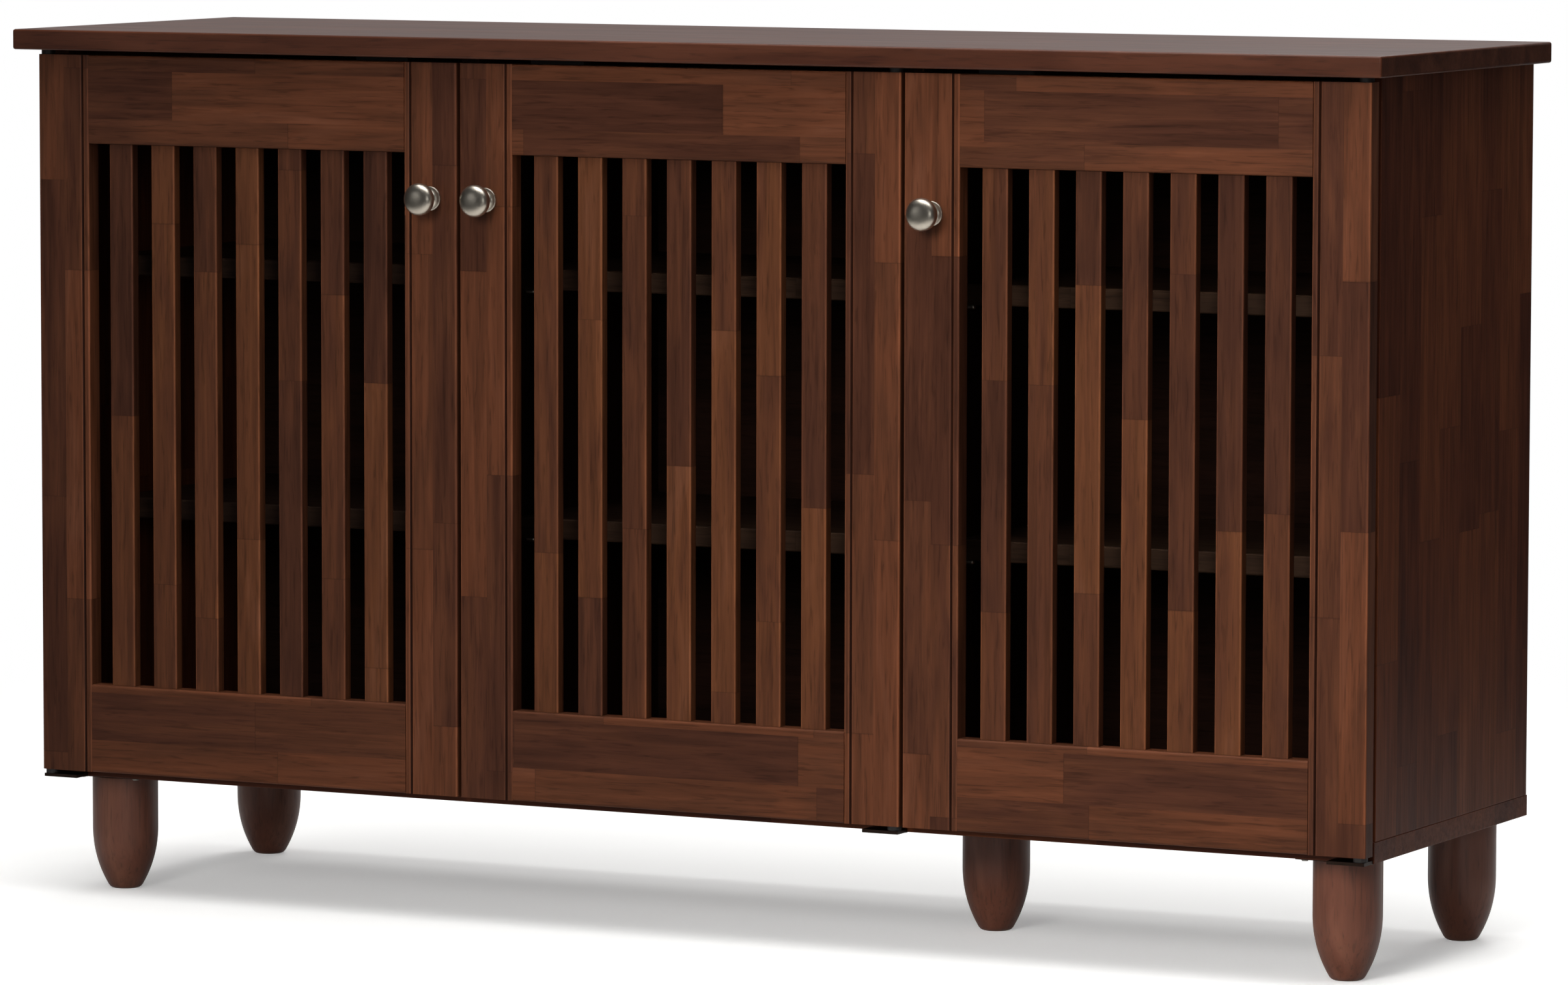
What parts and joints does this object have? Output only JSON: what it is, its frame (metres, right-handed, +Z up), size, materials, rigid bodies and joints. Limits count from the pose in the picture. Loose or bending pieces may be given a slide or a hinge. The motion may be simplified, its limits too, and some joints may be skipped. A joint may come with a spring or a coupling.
{
  "type": "shoe cabinet",
  "caption": "Low wooden shoe cabinet with an overhanging top, slatted pivot doors, metal knobs, inner shelves and turned bullet legs.",
  "frame": {"origin": "on the floor, under the middle of the whole cabinet's box, knobs included", "axes": "+X to the cabinet's right as seen from the front, +Y to its back, +Z up; the doors face -Y"},
  "size_m": [1.168, 0.3501, 0.6905],
  "materials": {
    "top_board_wood": "plain dark stain under a satin lacquer",
    "carcass_wood": "finger-jointed strips, dark stain, satin lacquer",
    "shelf_wood": "dark stain, satin lacquer",
    "backing_board": "thin board, dark matt stain",
    "leg_wood": "turned solid wood, brown stain, satin lacquer",
    "frame_wood": "finger-jointed strips, red-brown stain, satin lacquer",
    "slat_wood": "finger-jointed strips, red-brown stain, satin lacquer",
    "satin_nickel": "nickel plated, satin",
    "steel_plate": "dark lacquered pressed steel",
    "black_nylon": "moulded nylon, matt"
  },
  "bodies": {
    "root": {"top_board": "top_board_wood", "bottom_board": "carcass_wood", "side_left": "carcass_wood", "side_right": "carcass_wood", "partition_left": "carcass_wood", "partition_right": "carcass_wood", "back_panel": "backing_board", "shelf_left_lower": "shelf_wood", "shelf_left_upper": "shelf_wood", "shelf_middle_lower": "shelf_wood", "shelf_middle_upper": "shelf_wood", "shelf_right_lower": "shelf_wood", "shelf_right_upper": "shelf_wood", "leg_front_left": "leg_wood", "leg_plate_front_left": "steel_plate", "leg_front_right": "leg_wood", "leg_plate_front_right": "steel_plate", "leg_back_left": "leg_wood", "leg_plate_back_left": "steel_plate", "leg_back_right": "leg_wood", "leg_plate_back_right": "steel_plate", "leg_centre": "leg_wood", "leg_plate_centre": "steel_plate", "pivot_plate_lower_left": "steel_plate", "pivot_plate_upper_left": "steel_plate", "catch_left": "black_nylon", "pivot_plate_lower_middle": "steel_plate", "pivot_plate_upper_middle": "steel_plate", "catch_middle": "black_nylon", "pivot_plate_lower_right": "steel_plate", "pivot_plate_upper_right": "steel_plate", "catch_right": "black_nylon"},
    "door_left": {"stile_left_left": "frame_wood", "stile_right_left": "frame_wood", "rail_bottom_left": "frame_wood", "rail_top_left": "frame_wood", "slats_left": "slat_wood", "knob_left": "satin_nickel", "pivot_bush_lower_left": "black_nylon", "pivot_bush_upper_left": "black_nylon", "strike_left": "steel_plate"},
    "door_middle": {"stile_left_middle": "frame_wood", "stile_right_middle": "frame_wood", "rail_bottom_middle": "frame_wood", "rail_top_middle": "frame_wood", "slats_middle": "slat_wood", "knob_middle": "satin_nickel", "pivot_bush_lower_middle": "black_nylon", "pivot_bush_upper_middle": "black_nylon", "strike_middle": "steel_plate"},
    "door_right": {"stile_left_right": "frame_wood", "stile_right_right": "frame_wood", "rail_bottom_right": "frame_wood", "rail_top_right": "frame_wood", "slats_right": "slat_wood", "knob_right": "satin_nickel", "pivot_bush_lower_right": "black_nylon", "pivot_bush_upper_right": "black_nylon", "strike_right": "steel_plate"}
  },
  "joints": [
    {"name": "door_left_turns", "type": "hinge", "parent": "root", "child": "door_left", "pos_m": [-0.564, -0.145, 0.3855], "axis": [0, 0, -1], "range_deg": [0, 110]},
    {"name": "door_middle_turns", "type": "hinge", "parent": "root", "child": "door_middle", "pos_m": [0.183, -0.145, 0.3855], "axis": [0, 0, 1], "range_deg": [0, 110]},
    {"name": "door_right_turns", "type": "hinge", "parent": "root", "child": "door_right", "pos_m": [0.564, -0.145, 0.3855], "axis": [0, 0, 1], "range_deg": [0, 110]}
  ]
}
